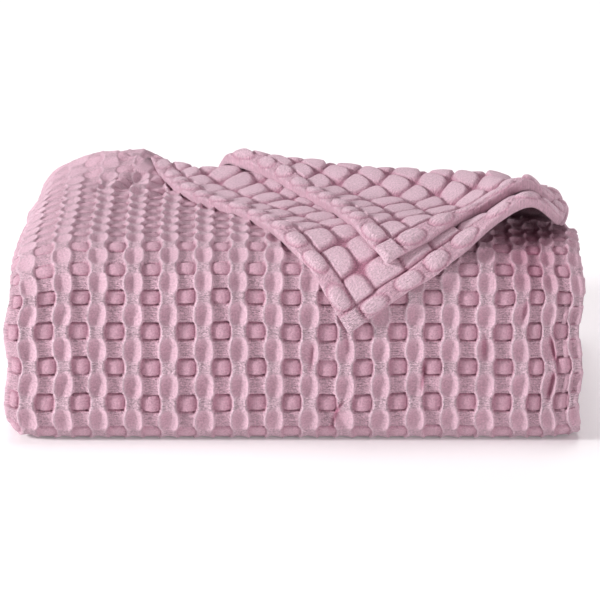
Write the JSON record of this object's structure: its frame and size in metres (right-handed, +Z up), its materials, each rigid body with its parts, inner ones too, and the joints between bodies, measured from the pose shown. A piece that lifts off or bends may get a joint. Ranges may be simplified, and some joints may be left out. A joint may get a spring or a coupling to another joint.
{
  "type": "folded waffle weave blanket",
  "caption": "Waffle weave cotton blanket folded into a thick rectangular pack, with a corner turned back over the top and front in overlapping layers.",
  "frame": {"origin": "bottom centre of the folded blanket's bounding box, on the surface it rests on", "axes": "+Z up, -Y towards the front, where the turned-back corner hangs, +X to the side with the stacked hems"},
  "size_m": [0.3698, 0.3064, 0.1612],
  "materials": {
    "waffle_cotton": "matte, soft cotton in a deep waffle weave, dusty rose"
  },
  "bodies": {
    "root": {"blanket": "waffle_cotton"}
  },
  "joints": []
}
